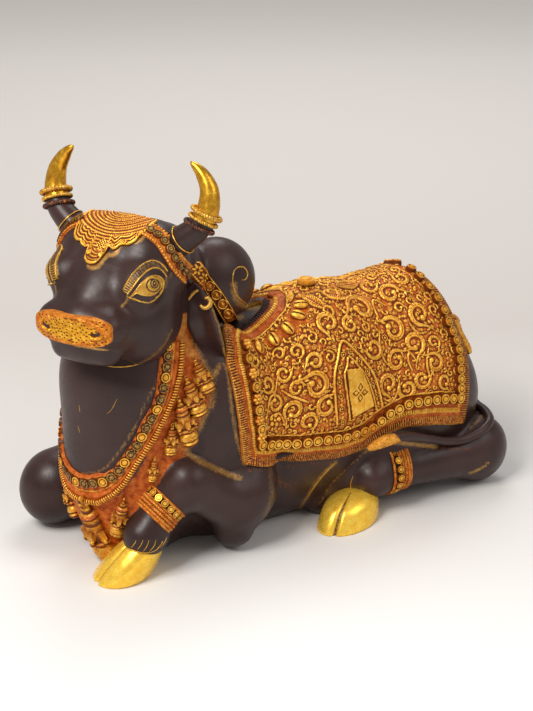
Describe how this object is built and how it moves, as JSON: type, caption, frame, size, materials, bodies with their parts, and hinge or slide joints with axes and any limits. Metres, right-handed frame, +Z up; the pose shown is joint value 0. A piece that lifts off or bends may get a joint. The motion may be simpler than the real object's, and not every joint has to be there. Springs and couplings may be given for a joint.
{
  "type": "bull figure",
  "caption": "Couchant Nandi bull cast in brass, head turned to its left, a forehoof planted, with ringed horns, hump, fringed saddle cloth, necklace of rosettes and bells, anklets and tail.",
  "frame": {"origin": "on the ground plane, under the middle of the figure's bounding box", "axes": "+X towards the bull's tail and -X towards its head, -Y to the bull's left, +Z up"},
  "size_m": [0.5178, 0.2254, 0.4018],
  "materials": {
    "lacquered_brass": "dark aubergine-brown lacquer over cast brass, rubbed to gold on raised carving, rust-orange in the recesses of cloth and necklace, polished gold horn tips, hooves and muzzle pad"
  },
  "bodies": {
    "root": {"nandi_bull": "lacquered_brass"}
  },
  "joints": []
}
